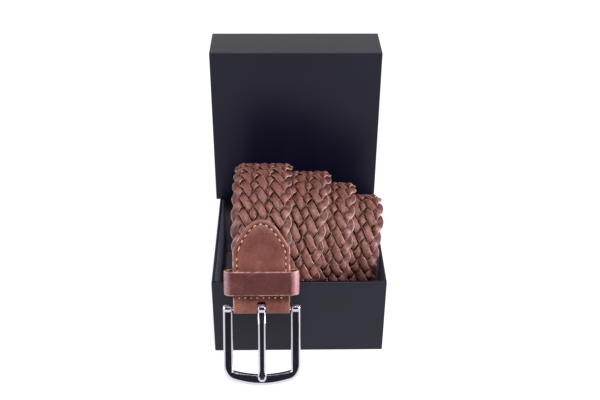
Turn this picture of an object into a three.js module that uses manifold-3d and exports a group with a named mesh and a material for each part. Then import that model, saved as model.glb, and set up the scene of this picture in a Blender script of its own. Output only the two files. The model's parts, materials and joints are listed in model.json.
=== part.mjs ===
// Braided leather belt with a chromed prong buckle, rolled up and standing in its open gift box.
// Millimetres, +Z up, X to the right, Y from the front of the box to its back.
// The origin is the middle of the underside of the box.
import * as THREE from "three";
import { mergeVertices } from "three/addons/utils/BufferGeometryUtils.js";
import Module from "manifold-3d";

// Driving sizes
const contact = 0.3; // left between pieces that touch

const braid = {
  width: 38.5, // over the lobes of both edges
  thickness: 4.2,
  lobe: 1.1, // how far each turned strand stands out at an edge
  pitch: 10.3, // from lobe to lobe
  stepsPerLobe: 4,
  shoulder: 4, // how far in from each edge the face starts to fall away
  sewnWidth: 33, // where it is pressed flat between the tab's panels
  sewnThickness: 3,
  opening: 14, // over which it swells from the sewn to the full section
};

const coil = {
  halfDepth: 45.8, // axis to the middle of the strap, towards the front and the back
  halfHeight: 49.6,
  turnGap: 0.4,
  travelLength: 59.4, // how far the turns travel to the right in all
  lowShare: 0.95, // of that travel, the most that is reached below the rim of the box
  sideGap: 9.9, // free space at the left of the coil
  bulgeTurn: 0.4, // where the first turn, lifted over the rim, is back on the coil
  turnCount: 4.2, // where the braid ends and the end tab follows
};

const box = {
  height: 56,
  board: 2.4,
  corner: 1.0,
  rearLedge: 12, // what the base reaches behind the face of the standing lid
};

const lid = {
  depth: 34,
  board: 1.2,
  slip: 0.3, // around the base, when it is closed
  shift: -1.1, // it stands a little to the left
};

const tab = {
  width: 35.4,
  foldWidth: 34.8,
  leather: 1.6,
  overRim: 14.5, // from the rim of the box down to the buckle's bar
  archFoot: 37, // along the strap from the bar
  archHeight: 17.6,
  backLength: 31,
  taper: 26, // over which it narrows towards the fold
};

const slot = { rise: 4.8 }; // from the bar to the upper end of the prong's slot

const keeper = {
  width: 46.6,
  height: 15,
  leather: 1.8,
  place: 16.3, // middle of its height, along the strap from the bar
  play: 0.5, // in front of the tab
};

const buckle = {
  width: 48,
  reach: 49.4, // bar to the outer edge of the bow
  rail: 6,
  bow: 7,
  bowSag: 3, // how far the outer edge of the bow curves down between its corners
  windowSag: 2.6,
  cornerWidth: 6.5,
  cornerHeight: 10,
  thickness: 3.2,
  bevel: 1.1,
  bar: 3,
  knuckle: 2.7, // radius of the rounded ends around the bar
};

const prong = {
  width: 4.8,
  thickness: 2.4,
  tipWidth: 5.6,
  tipInset: 3.4, // short of the outer edge of the bow
  eyeWidth: 4.6,
  eyeWall: 1.5,
};

const endTab = { length: 46, point: 16, thickness: 3.6 };

// Sections of the coil. turn counts from the foremost point of the coil; inDepth and inHeight are
// how many strap layers it has wound inwards, front to back and up and down; sink is how far the
// loose inner turns hang below the axis, in layers; across is a share of coil.travelLength.
const COIL_SECTIONS = [
  { turn: 0.0, inDepth: -0.15, inHeight: -0.2, sink: 0.0, across: 0.0 },
  { turn: 0.15, inDepth: -0.1, inHeight: -0.2, sink: 0.0, across: 0.0 },
  { turn: 0.33, inDepth: -0.05, inHeight: -0.15, sink: 0.0, across: 0.02 },
  { turn: 0.5, inDepth: 0.0, inHeight: 0.0, sink: 0.0, across: 0.05 },
  { turn: 0.75, inDepth: 0.15, inHeight: 0.05, sink: 0.0, across: 0.15 },
  { turn: 1.0, inDepth: 0.35, inHeight: 0.4, sink: 0.0, across: 0.285 },
  { turn: 1.25, inDepth: 0.7, inHeight: 0.8, sink: 0.05, across: 0.43 },
  { turn: 1.5, inDepth: 1.1, inHeight: 1.1, sink: 0.15, across: 0.48 },
  { turn: 1.75, inDepth: 1.5, inHeight: 1.55, sink: 0.25, across: 0.545 },
  { turn: 2.0, inDepth: 1.95, inHeight: 1.9, sink: 0.3, across: 0.615 },
  { turn: 2.25, inDepth: 2.3, inHeight: 2.15, sink: 0.35, across: 0.71 },
  { turn: 2.5, inDepth: 2.65, inHeight: 2.5, sink: 0.45, across: 0.75 },
  { turn: 2.75, inDepth: 3.0, inHeight: 2.95, sink: 0.6, across: 0.83 },
  { turn: 3.0, inDepth: 3.3, inHeight: 3.25, sink: 0.65, across: 0.92 },
  { turn: 3.2, inDepth: 3.6, inHeight: 3.55, sink: 0.65, across: 1.01 },
  { turn: 3.33, inDepth: 3.8, inHeight: 3.75, sink: 0.65, across: 1.0 },
  { turn: 3.45, inDepth: 3.95, inHeight: 3.95, sink: 0.7, across: 0.95 },
  { turn: 4.0, inDepth: 4.6, inHeight: 4.85, sink: 0.7, across: 0.94 },
  { turn: 4.8, inDepth: 5.6, inHeight: 5.8, sink: 0.7, across: 0.94 },
];

const wasm = await Module();
wasm.setup();

// Joining and cutting
function solidOf(geometry) {
  const bare = new THREE.BufferGeometry();
  bare.setAttribute("position", geometry.getAttribute("position"));
  if (geometry.index) bare.setIndex(geometry.index);
  const merged = mergeVertices(bare, 1e-4);
  return new wasm.Manifold(
    new wasm.Mesh({
      numProp: 3,
      vertProperties: merged.attributes.position.array,
      triVerts: new Uint32Array(merged.index.array),
    }),
  );
}

function geometryOf(solid) {
  const mesh = solid.getMesh();
  const geometry = new THREE.BufferGeometry();
  const position = new THREE.BufferAttribute(mesh.vertProperties, mesh.numProp);
  geometry.setAttribute("position", position);
  geometry.setIndex(new THREE.BufferAttribute(mesh.triVerts, 1));
  geometry.computeVertexNormals();
  return geometry;
}

// Skins equal rings of points into one closed body; a looped row of rings has no ends to cap.
function loft(rings, looped = false) {
  const size = rings[0].length;
  const points = rings.flat();
  const index = [];
  const bands = looped ? rings.length : rings.length - 1;
  for (let i = 0; i < bands; i++) {
    const here = i * size;
    const next = ((i + 1) % rings.length) * size;
    for (let j = 0; j < size; j++) {
      const k = (j + 1) % size;
      index.push(here + j, next + j, next + k, here + j, next + k, here + k);
    }
  }
  if (!looped) {
    const last = (rings.length - 1) * size;
    for (let j = 1; j < size - 1; j++) {
      index.push(0, j, j + 1, last, last + j + 1, last + j);
    }
  }
  let volume = 0;
  for (let i = 0; i < index.length; i += 3) {
    const [a, b, c] = [points[index[i]], points[index[i + 1]], points[index[i + 2]]];
    volume += a.dot(new THREE.Vector3().crossVectors(b, c));
  }
  if (volume < 0) index.reverse();
  const geometry = new THREE.BufferGeometry().setFromPoints(points);
  geometry.setIndex(index);
  geometry.computeVertexNormals();
  return geometry;
}

// The value of one column of a table at a place between its rows, as a smooth curve
function tableValue(rows, key, column, at) {
  let i = rows.findIndex((row) => row[key] > at) - 1;
  if (i < 0) i = rows.length - 2;
  const slope = (k) => {
    const before = rows[Math.max(k - 1, 0)];
    const after = rows[Math.min(k + 1, rows.length - 1)];
    return (after[column] - before[column]) / (after[key] - before[key]);
  };
  const span = rows[i + 1][key] - rows[i][key];
  const t = (at - rows[i][key]) / span;
  const [t2, t3] = [t * t, t * t * t];
  return (
    (2 * t3 - 3 * t2 + 1) * rows[i][column] +
    (t3 - 2 * t2 + t) * span * slope(i) +
    (3 * t2 - 2 * t3) * rows[i + 1][column] +
    (t3 - t2) * span * slope(i + 1)
  );
}

const smooth = (t) => THREE.MathUtils.smoothstep(t, 0, 1);

// The coil in profile. Its outline is given by the distance of each tangent line from the axis,
// for a normal that turns from the front, over the top, to the back.
const layer = braid.thickness + coil.turnGap;

function coilSupport(turn) {
  const angle = turn * 2 * Math.PI;
  const depth = coil.halfDepth - layer * tableValue(COIL_SECTIONS, "turn", "inDepth", turn);
  const height = coil.halfHeight - layer * tableValue(COIL_SECTIONS, "turn", "inHeight", turn);
  const sink = layer * tableValue(COIL_SECTIONS, "turn", "sink", turn);
  return Math.hypot(depth * Math.cos(angle), height * Math.sin(angle)) - sink * Math.sin(angle);
}

const halfStrap = braid.thickness / 2;
const coilFront = coilSupport(1.0) + halfStrap + contact;
const coilRear = coilSupport(0.5) + halfStrap + contact;
const coilBottom = coilSupport(0.75) + halfStrap + contact;

// The box is made to hold the coil, and the lid stands right behind it.
const boxInside = coil.sideGap + coil.lowShare * coil.travelLength + braid.width + contact;
const boxWidth = boxInside + 2 * box.board;
const boxDepth = box.board + coilFront + coilRear + box.rearLedge;
const boxFront = -boxDepth / 2;
const beltX = -boxInside / 2 + coil.sideGap + braid.width / 2;
const axis = new THREE.Vector2(boxFront + box.board + coilFront, box.board + coilBottom);
const lidFace = axis.x + coilRear;

// The strap leaves the coil in a straight line over the front rim, and the buckle at its end
// rests on the table, which sets its slope. A taller box would let it hang straight down.
const stackHalf = braid.sewnThickness / 2 + contact + tab.leather;
const overRim = stackHalf + contact + keeper.leather + contact;
const backFace = overRim - buckle.thickness / 2;
const hanging = tab.overRim + buckle.reach;
const steepest = Math.min(1, (box.height - contact) / Math.hypot(backFace, hanging));
const slope = Math.asin(steepest) + Math.atan2(backFace, hanging);
const strapUp = new THREE.Vector2(Math.cos(slope), Math.sin(slope));
const strapOut = new THREE.Vector2(-Math.sin(slope), Math.cos(slope));
const rim = new THREE.Vector2(boxFront, box.height);
const barAxis = rim.clone().addScaledVector(strapOut, overRim).addScaledVector(strapUp, -tab.overRim);
const leaveTurn = (Math.PI / 2 - slope) / (2 * Math.PI);
const bulge = barAxis.clone().sub(axis).dot(strapOut) - coilSupport(leaveTurn);

function support(turn) {
  const fade = (turn - leaveTurn) / (coil.bulgeTurn - leaveTurn);
  return coilSupport(turn) + bulge * (1 - smooth(fade));
}

function coilPoint(turn) {
  const angle = turn * 2 * Math.PI;
  const normal = new THREE.Vector2(-Math.cos(angle), Math.sin(angle));
  const along = new THREE.Vector2(Math.sin(angle), Math.cos(angle));
  const nudge = 1e-4;
  const rate = (support(turn + nudge) - support(turn - nudge)) / (4 * Math.PI * nudge);
  const spot = axis.clone().addScaledVector(normal, support(turn)).addScaledVector(along, rate);
  const x = beltX + coil.travelLength * tableValue(COIL_SECTIONS, "turn", "across", turn);
  return { spot: new THREE.Vector3(x, spot.x, spot.y), normal };
}

// The middle line of the strap, measured from the buckle's bar: a straight run, then the coil
function strapLine() {
  const line = [];
  const leave = coilPoint(leaveTurn);
  const run = new THREE.Vector2(leave.spot.y, leave.spot.z).sub(barAxis).length();
  for (let s = 0; s < run; s += 1) {
    const spot = barAxis.clone().addScaledVector(strapUp, s);
    line.push({ spot: new THREE.Vector3(beltX, spot.x, spot.y), normal: strapOut.clone(), s });
  }
  const last = COIL_SECTIONS[COIL_SECTIONS.length - 1].turn;
  let s = run;
  let before = leave.spot;
  for (let turn = leaveTurn; turn < last; turn += 1 / 360) {
    const here = coilPoint(turn);
    s += here.spot.distanceTo(before);
    before = here.spot;
    line.push({ ...here, s, turn });
  }
  return line;
}

const line = strapLine();
const lengthAtTurn = (turn) => line.find((p) => p.turn >= turn).s;

// Position and directions at a length along the strap
function strapAt(s) {
  let i = line.findIndex((p) => p.s > s) - 1;
  if (i < 0) i = s <= 0 ? 0 : line.length - 2;
  const [a, b] = [line[i], line[i + 1]];
  const t = (s - a.s) / (b.s - a.s);
  const spot = a.spot.clone().lerp(b.spot, t);
  const n = a.normal.clone().lerp(b.normal, t).normalize();
  const normal = new THREE.Vector3(0, n.x, n.y);
  const along = b.spot.clone().sub(a.spot).normalize();
  const across = new THREE.Vector3().crossVectors(along, normal).normalize();
  return { spot, normal, across };
}

// A point beside and above the middle line of the strap
function strapPoint(s, aside, above) {
  const at = strapAt(s);
  return at.spot.addScaledVector(at.across, aside).addScaledVector(at.normal, above);
}

// A strap's cross-section, one ring of a loft: its face falls away towards the edges over the
// width of the shoulder, and its back is softened.
function strapRing(s, left, right, half, shoulder) {
  return [
    [right, -half * 0.4],
    [right - shoulder * 0.25, half * 0.35],
    [right - shoulder, half],
    [-left + shoulder, half],
    [-left + shoulder * 0.25, half * 0.35],
    [-left, -half * 0.4],
    [-left + shoulder * 0.5, -half],
    [right - shoulder * 0.5, -half],
  ].map(([aside, above]) => strapPoint(s, aside, above));
}

// Braided strap: one woven band from inside the tab to the end tab, with lobed edges
const foldInside = braid.sewnThickness / 2 + contact;
const braidStart = foldInside + tab.leather + braid.sewnThickness;
const braidEnd = lengthAtTurn(coil.turnCount);

function braidHalfThickness(s) {
  const open = smooth((s - keeper.place - keeper.height / 2) / braid.opening);
  return (braid.sewnThickness + (braid.thickness - braid.sewnThickness) * open) / 2;
}

function makeBraid() {
  const count = Math.round(((braidEnd - braidStart) / braid.pitch) * braid.stepsPerLobe);
  const fullWidth = braid.width / 2 - braid.lobe;
  const rings = [];
  for (let i = 0; i <= count; i++) {
    const s = braidStart + ((braidEnd - braidStart) * i) / count;
    const open = smooth((s - tab.archFoot) / (tab.archHeight / 2) + 0.7);
    const phase = (Math.PI * i) / braid.stepsPerLobe;
    const [left, right] = [Math.sin(phase), Math.cos(phase)].map((wave) =>
      THREE.MathUtils.lerp(braid.sewnWidth / 2, fullWidth + braid.lobe * Math.abs(wave), open),
    );
    const shoulder = THREE.MathUtils.lerp(braid.thickness / 4, braid.shoulder, open);
    rings.push(strapRing(s, left, right, braidHalfThickness(s), shoulder));
  }
  return loft(rings);
}

// Leather around the strap's sewn end: a ring at a place along it, turned from the back of the
// strap (0) through the fold at the bar to its front (half a turn)
function tabRing(s, angle, halfWidth) {
  const at = strapAt(s);
  const down = new THREE.Vector3().crossVectors(at.across, at.normal);
  if (down.z > 0) down.negate();
  const out = at.normal.clone().multiplyScalar(-Math.cos(angle)).addScaledVector(down, Math.sin(angle));
  const inner = braidHalfThickness(s) + contact;
  const soften = tab.leather * 0.3;
  return [
    [halfWidth, inner + soften],
    [halfWidth, inner + tab.leather - soften],
    [halfWidth - soften, inner + tab.leather],
    [-halfWidth + soften, inner + tab.leather],
    [-halfWidth, inner + tab.leather - soften],
    [-halfWidth, inner + soften],
    [-halfWidth + soften, inner],
    [halfWidth - soften, inner],
  ].map(([aside, away]) =>
    at.spot.clone().addScaledVector(at.across, aside).addScaledVector(out, away),
  );
}

// Buckle tab: one piece of leather folded around the bar, its front panel ending in an arch
function makeTab() {
  const halfWidth = (s) => THREE.MathUtils.lerp(tab.foldWidth, tab.width, smooth(s / tab.taper)) / 2;
  const rings = [];
  const panelSteps = 9;
  for (let i = panelSteps; i > 0; i--) {
    const s = (tab.backLength * i) / panelSteps;
    rings.push(tabRing(s, 0, halfWidth(s)));
  }
  const foldSteps = 10;
  for (let i = 0; i <= foldSteps; i++) {
    rings.push(tabRing(0, (Math.PI * i) / foldSteps, halfWidth(0)));
  }
  for (let i = 1; i <= panelSteps; i++) {
    const s = (tab.archFoot * i) / panelSteps;
    rings.push(tabRing(s, Math.PI, halfWidth(s)));
  }
  const archSteps = 12;
  const tipHalf = tab.leather;
  for (let i = 1; i <= archSteps; i++) {
    const toFoot = 1 - i / archSteps;
    const half = tipHalf + (tab.width / 2 - tipHalf) * Math.pow(toFoot, 0.56);
    rings.push(tabRing(tab.archFoot + tab.archHeight * (1 - toFoot), Math.PI, half));
  }
  return loft(rings);
}

// The open slot in the fold, through which the prong swings
function cutSlot(folded) {
  const depth = 2 * (foldInside + tab.leather + contact);
  const cutter = new THREE.BoxGeometry(prong.eyeWidth + 2 * contact, slot.rise + depth / 2, depth);
  cutter.translate(0, (slot.rise - depth / 2) / 2, 0);
  cutter.rotateX(slope);
  cutter.translate(beltX, barAxis.x, barAxis.y);
  return geometryOf(solidOf(folded).subtract(solidOf(cutter)));
}

// Leather tab at the free end of the strap, inside the coil
function makeEndTab() {
  const start = braidEnd + contact;
  const steps = 14;
  const rings = [];
  for (let i = 0; i <= steps; i++) {
    const along = (endTab.length * i) / steps;
    const toPoint = Math.max(0, 1 - (endTab.length - along) / endTab.point);
    const half = (tab.width / 2) * Math.sqrt(1 - 0.9 * toPoint * toPoint);
    rings.push(strapRing(start + along, half, half, endTab.thickness / 2, endTab.thickness / 3));
  }
  return loft(rings);
}

// The keeper and the buckle are drawn flat, in the plane of the strap's straight end:
// X across, Y up the strap from the bar, Z out towards the viewer.

// Keeper: a band of leather around the tab, flat in front with round sides
function makeKeeper() {
  const back = -stackHalf - contact;
  const front = stackHalf + contact + keeper.play;
  const radius = (front - back) / 2;
  const straight = keeper.width / 2 - keeper.leather - radius;
  const bendSteps = 8;
  const path = [];
  for (const side of [1, -1]) {
    for (let i = 0; i <= bendSteps; i++) {
      const angle = (-Math.PI / 2 + (Math.PI * i) / bendSteps) * side;
      path.push([side * straight, (front + back) / 2, side * Math.cos(angle), Math.sin(angle)]);
    }
  }
  const half = keeper.height / 2;
  const soften = keeper.leather * 0.25;
  const rings = path.map(([x, z, cos, sin]) =>
    [
      [radius, -half + soften],
      [radius + soften, -half],
      [radius + keeper.leather - soften, -half],
      [radius + keeper.leather, -half + soften],
      [radius + keeper.leather, half - soften],
      [radius + keeper.leather - soften, half],
      [radius + soften, half],
      [radius, half - soften],
    ].map(([r, y]) => new THREE.Vector3(x + r * cos, keeper.place + y, z + r * sin)),
  );
  return loft(rings, true);
}

// Buckle frame: a bevelled U of two rails and a bow, knuckles at its ends, the bar between them
function makeBuckle() {
  const outerX = buckle.width / 2;
  const innerX = outerX - buckle.rail;
  const bowX = outerX - buckle.cornerWidth;
  const bowEnd = -buckle.reach + buckle.bowSag;
  const outer = new THREE.Path();
  outer.moveTo(outerX, 0);
  outer.lineTo(outerX, bowEnd + buckle.cornerHeight);
  outer.bezierCurveTo(
    outerX,
    bowEnd + buckle.cornerHeight * 0.45,
    bowX + buckle.cornerWidth * 0.5,
    bowEnd + buckle.bowSag * 0.37,
    bowX,
    bowEnd,
  );
  outer.quadraticCurveTo(bowX / 2, -buckle.reach, 0, -buckle.reach);
  const windowY = -buckle.reach + buckle.bow;
  const inner = new THREE.Path();
  inner.moveTo(innerX, 0);
  inner.lineTo(innerX, windowY + buckle.windowSag);
  inner.quadraticCurveTo(innerX / 2, windowY, 0, windowY);
  const curveSteps = 7;
  const mirrored = (points) => points.map((p) => new THREE.Vector2(-p.x, p.y));
  const outerHalf = outer.getPoints(curveSteps);
  const innerHalf = inner.getPoints(curveSteps);
  const outline = [
    ...outerHalf,
    ...mirrored(outerHalf).reverse().slice(1),
    ...mirrored(innerHalf),
    ...innerHalf.reverse().slice(1),
  ];
  const rails = new THREE.ExtrudeGeometry(new THREE.Shape(outline), {
    depth: buckle.thickness - 2 * buckle.bevel,
    bevelThickness: buckle.bevel,
    bevelSize: buckle.bevel,
    bevelOffset: -buckle.bevel,
    bevelSegments: 2,
  });
  rails.translate(0, 0, buckle.bevel - buckle.thickness / 2);
  const rod = (radius, length, x) => {
    const cylinder = new THREE.CylinderGeometry(radius, radius, length, 16);
    cylinder.rotateZ(Math.PI / 2);
    cylinder.translate(x, 0, 0);
    return solidOf(cylinder);
  };
  const railX = outerX - buckle.rail / 2;
  return geometryOf(
    solidOf(rails)
      .add(rod(buckle.knuckle, buckle.rail, railX))
      .add(rod(buckle.knuckle, buckle.rail, -railX))
      .add(rod(buckle.bar / 2, 2 * railX, 0)),
  );
}

// Prong: an eye around the bar and a tongue that lies on the bow. share runs from the bar to the
// tip; wide is a share of the width it follows; low and high are shares of the tongue's thickness.
const PRONG_SECTIONS = [
  { share: 0.05, wide: 0.92, tip: 0, low: -0.1, high: 0.6 },
  { share: 0.13, wide: 1, tip: 0, low: -0.1, high: 1 },
  { share: 0.5, wide: 1, tip: 0, low: 0.05, high: 1.1 },
  { share: 0.84, wide: 1, tip: 0, low: 0, high: 1 },
  { share: 0.92, wide: 1, tip: 1, low: 0, high: 1 },
  { share: 0.97, wide: 0.82, tip: 1, low: 0, high: 0.9 },
  { share: 1.0, wide: 0.4, tip: 1, low: 0, high: 0.55 },
];

function makeProng() {
  const eyeInner = buckle.bar / 2 + contact;
  const corners = [
    [eyeInner, -prong.eyeWidth / 2],
    [eyeInner + prong.eyeWall, -prong.eyeWidth / 2],
    [eyeInner + prong.eyeWall, prong.eyeWidth / 2],
    [eyeInner, prong.eyeWidth / 2],
    [eyeInner, -prong.eyeWidth / 2],
  ].map(([radius, y]) => new THREE.Vector2(radius, y));
  const eye = new THREE.LatheGeometry(corners, 20);
  eye.rotateZ(Math.PI / 2);
  const onBow = buckle.thickness / 2 + contact;
  const length = buckle.reach - prong.tipInset;
  const rings = PRONG_SECTIONS.map((row) => {
    const half = (row.wide * THREE.MathUtils.lerp(prong.width, prong.tipWidth, row.tip)) / 2;
    const low = onBow + row.low * prong.thickness;
    const high = onBow + row.high * prong.thickness;
    const bevel = (high - low) * 0.35;
    return [
      [half, low],
      [half, high - bevel],
      [half - bevel, high],
      [-half + bevel, high],
      [-half, high - bevel],
      [-half, low],
    ].map(([x, z]) => new THREE.Vector3(x, -length * row.share, z));
  });
  return geometryOf(solidOf(eye).add(solidOf(loft(rings))));
}

// A card tray, open at the top: used for the base and, turned, for the lid
function makeTray(width, depth, height, board, corner) {
  const outline = (w, d, r) => {
    const shape = new THREE.Shape();
    shape.moveTo(-w / 2 + r, -d / 2);
    for (const [sx, sy, start] of [[1, -1, -0.5], [1, 1, 0], [-1, 1, 0.5], [-1, -1, 1]]) {
      const from = start * Math.PI;
      shape.absarc(sx * (w / 2 - r), sy * (d / 2 - r), r, from, from + Math.PI / 2, false);
    }
    return shape;
  };
  const upright = { depth: height, bevelEnabled: false, curveSegments: 3 };
  const outer = new THREE.ExtrudeGeometry(outline(width, depth, corner), upright);
  const hollow = outline(width - 2 * board, depth - 2 * board, corner * 0.3);
  const inner = new THREE.ExtrudeGeometry(hollow, upright);
  inner.translate(0, 0, board);
  return geometryOf(solidOf(outer).subtract(solidOf(inner)));
}

// Assembly
const finishes = {
  braid: { color: 0x7d5047, roughness: 0.5, metalness: 0 },
  tabLeather: { color: 0x87544a, roughness: 0.45, metalness: 0 },
  keeperLeather: { color: 0x7a4c48, roughness: 0.45, metalness: 0 },
  chrome: { color: 0xc9cbd2, roughness: 0.12, metalness: 1 },
  card: { color: 0x23232b, roughness: 0.6, metalness: 0 },
};

function named(name, geometry, finish) {
  const mesh = new THREE.Mesh(geometry, new THREE.MeshStandardMaterial(finishes[finish]));
  mesh.name = name;
  return mesh;
}

const belt = new THREE.Group();

belt.add(named("box_base", makeTray(boxWidth, boxDepth, box.height, box.board, box.corner), "card"));

const lidEdge = 2 * (lid.board + lid.slip);
const boxLid = named(
  "box_lid",
  makeTray(boxWidth + lidEdge, boxDepth + lidEdge, lid.depth, lid.board, box.corner),
  "card",
);
boxLid.rotation.x = -Math.PI / 2;
boxLid.position.set(lid.shift, lidFace, box.height + contact + (boxDepth + lidEdge) / 2);
belt.add(boxLid);

belt.add(named("braid_band", makeBraid(), "braid"));
belt.add(named("buckle_tab", cutSlot(makeTab()), "tabLeather"));
belt.add(named("end_tab", makeEndTab(), "tabLeather"));

const strapEnd = new THREE.Group();
strapEnd.position.set(beltX, barAxis.x, barAxis.y);
strapEnd.rotation.x = slope;
strapEnd.add(named("keeper_loop", makeKeeper(), "keeperLeather"));
strapEnd.add(named("buckle_frame", makeBuckle(), "chrome"));
strapEnd.add(named("prong", makeProng(), "chrome"));
belt.add(strapEnd);

export default belt;
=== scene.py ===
# %% [markdown]
# A braided leather belt, rolled up and standing in its open gift box.
#
# The CAD model gives every size, so this script only gives looks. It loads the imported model,
# finds the strap's middle line again from the same few measures, weaves eleven strands along it,
# and then makes the smooth leather, the polished buckle and the papered box one by one. Lengths
# are in millimetres until a mesh is made, because that is how a belt maker thinks of them.

import json
import math
import random
from collections import namedtuple

import bmesh
import bpy
import numpy as np
from mathutils import Matrix, Vector


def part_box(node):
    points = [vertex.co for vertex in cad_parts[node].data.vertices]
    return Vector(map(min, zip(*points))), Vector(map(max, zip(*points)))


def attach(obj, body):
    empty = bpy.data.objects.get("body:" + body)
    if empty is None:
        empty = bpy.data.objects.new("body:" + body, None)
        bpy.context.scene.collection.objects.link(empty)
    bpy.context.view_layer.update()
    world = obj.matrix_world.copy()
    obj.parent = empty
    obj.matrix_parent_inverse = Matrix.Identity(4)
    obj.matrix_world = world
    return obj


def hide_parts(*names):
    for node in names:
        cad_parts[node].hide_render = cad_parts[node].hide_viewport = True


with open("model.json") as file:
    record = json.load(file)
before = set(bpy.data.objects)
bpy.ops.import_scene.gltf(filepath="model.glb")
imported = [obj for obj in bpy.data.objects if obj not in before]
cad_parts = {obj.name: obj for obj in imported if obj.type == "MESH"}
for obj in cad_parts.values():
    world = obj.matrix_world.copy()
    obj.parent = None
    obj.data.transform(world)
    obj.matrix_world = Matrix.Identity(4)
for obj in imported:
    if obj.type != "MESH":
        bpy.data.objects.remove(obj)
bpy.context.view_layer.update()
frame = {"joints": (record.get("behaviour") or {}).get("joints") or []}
MM = 0.001

# %% [markdown]
# The camera is placed where the photographer stood: half a metre in front of the box, looking
# down on it by about a third of a right angle, through a slightly long lens.

# %% Camera
CAMERA_PLACE = Vector((-0.0104, -0.4921, 0.3959))
CAMERA_YAW = math.radians(1.36)
CAMERA_PITCH = math.radians(32.48)
CAMERA_ROLL = math.radians(0.48)
CAMERA_LENS = 53.0


def add_object(name, data):
    """Puts a mesh, a light or a camera into the scene."""
    thing = bpy.data.objects.new(name, data)
    bpy.context.scene.collection.objects.link(thing)
    return thing


bpy.context.scene.view_settings.view_transform = "Standard"
camera_data = bpy.data.cameras.new("camera")
camera_data.lens = CAMERA_LENS
camera_data.sensor_width = 36.0
camera_data.clip_start = 0.01
camera = add_object("camera", camera_data)
camera.matrix_world = (
    Matrix.Translation(CAMERA_PLACE)
    @ Matrix.Rotation(-CAMERA_YAW, 4, "Z")
    @ Matrix.Rotation(math.pi / 2 - CAMERA_PITCH, 4, "X")
    @ Matrix.Rotation(CAMERA_ROLL, 4, "Z")
)
bpy.context.scene.camera = camera
print("camera at", [round(v, 3) for v in CAMERA_PLACE], "lens", CAMERA_LENS)

# %% [markdown]
# Materials are written as small node trees. Colours are picked as sRGB hex values, the way they
# are read off a swatch, and one function turns them into the linear values that Blender mixes.


# %% Colours and nodes
def linear(swatch):
    """An sRGB hex colour as linear red, green, blue and alpha."""
    parts = [int(swatch[i : i + 2], 16) / 255 for i in (1, 3, 5)]
    return tuple(c / 12.92 if c <= 0.04045 else ((c + 0.055) / 1.055) ** 2.4 for c in parts) + (1.0,)


def add_node(tree, kind, inputs=None, stops=(), **settings):
    """Adds a node. Its inputs take numbers, colours or other nodes' outputs, its stops a ramp's."""
    node = tree.nodes.new(kind)
    for name, value in settings.items():
        setattr(node, name, value)
    for name, value in (inputs or {}).items():
        if isinstance(value, bpy.types.NodeSocket):
            tree.links.new(value, node.inputs[name])
        else:
            node.inputs[name].default_value = value
    for number, (position, swatch) in enumerate(stops):
        marks = node.color_ramp.elements
        mark = marks[number] if number < len(marks) else marks.new(position)
        mark.position = position
        mark.color = linear(swatch)
    return node


def new_material(name):
    """An empty material and its node tree."""
    material = bpy.data.materials.new(name)
    material.use_nodes = True
    material.node_tree.nodes.clear()
    return material, material.node_tree


def per_metre(millimetres):
    """The noise scale whose grains are about this wide, in object coordinates of one metre."""
    return 1 / (millimetres * MM)


print("leather swatch #8a5c52 is", [round(v, 3) for v in linear("#8a5c52")])

# %% [markdown]
# The leather is vegetable-tanned cowhide with a waxy pull-up finish. It shows a satin gloss, a
# fine grain, a mottled brown, and it is paler wherever it is cut, because the dye doesn't reach
# the middle of the hide. Each piece carries a value in its mesh, low in its hollows and high on
# its crowns, and the colour follows it: mostly painted shade in the hollows and a painted highlight
# on the crowns, with some real wear. A painted image could do the same, but such a value needs no
# image and stays right when a measure changes.
#
# Waxed leather has an IOR of about 1.45. Wax lies on the crowns and not in the hollows, so the
# mirror part of the shine follows the same value too.


# %% Leather
# Real grain is 0.2 to 0.3 mm wide and real pores are finer still: both are drawn coarser, so
# that they show at this distance.
GRAIN_SIZE = 0.7
PORE_SIZE = 1.7
PATCH_SIZE = 9.0


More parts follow.
